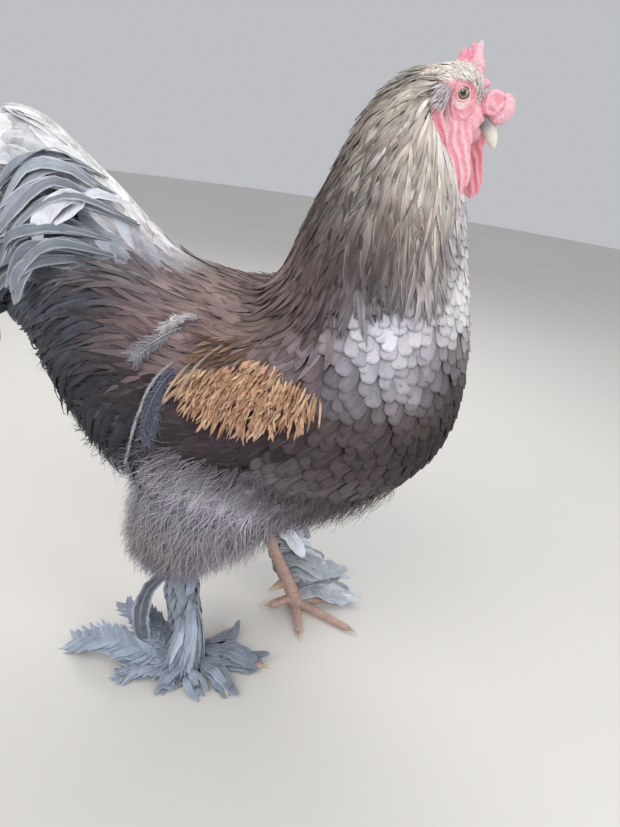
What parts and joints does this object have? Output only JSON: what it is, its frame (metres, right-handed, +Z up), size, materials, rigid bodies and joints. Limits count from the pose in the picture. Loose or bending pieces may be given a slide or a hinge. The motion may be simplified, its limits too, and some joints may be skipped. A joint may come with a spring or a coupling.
{
  "type": "brahma cock",
  "caption": "Life-size standing brahma cock with a pea comb, long wattles, full hackle, short arched tail and feathered feet, as a still museum model.",
  "frame": {"origin": "centre of the bounding box at the floor under the feet", "axes": "+X towards the breast, +Y to the bird's left, +Z up"},
  "size_m": [0.584, 0.3042, 0.7026],
  "materials": {
    "body_feathers": "matte",
    "hackle_feathers": "matte",
    "wing_feathers": "matte",
    "tail_feathers": "matte",
    "foot_feathers": "matte",
    "bare_skin": "satin",
    "leg_scales": "satin",
    "horn": "satin",
    "eye": "gloss"
  },
  "bodies": {
    "root": {"wattle_right": "bare_skin", "earlobe_right": "bare_skin", "wing_right": "wing_feathers", "wattle_left": "bare_skin", "earlobe_left": "bare_skin", "wing_left": "wing_feathers", "neck": "hackle_feathers", "trunk": "body_feathers", "tail": "tail_feathers", "thigh_right": "body_feathers", "shank_right": "leg_scales", "spur_right": "horn", "toe_inner_right": "leg_scales", "claw_inner_right": "horn", "toe_middle_right": "leg_scales", "claw_middle_right": "horn", "toe_outer_right": "leg_scales", "claw_outer_right": "horn", "toe_hind_right": "leg_scales", "claw_hind_right": "horn", "foot_feathers_right": "foot_feathers", "thigh_left": "body_feathers", "shank_left": "leg_scales", "spur_left": "horn", "toe_inner_left": "leg_scales", "claw_inner_left": "horn", "toe_middle_left": "leg_scales", "claw_middle_left": "horn", "toe_outer_left": "leg_scales", "claw_outer_left": "horn", "toe_hind_left": "leg_scales", "claw_hind_left": "horn", "foot_feathers_left": "foot_feathers", "head": "bare_skin", "beak_upper": "horn", "beak_lower": "horn", "comb": "bare_skin", "eye_right": "eye", "eye_left": "eye"}
  },
  "joints": []
}
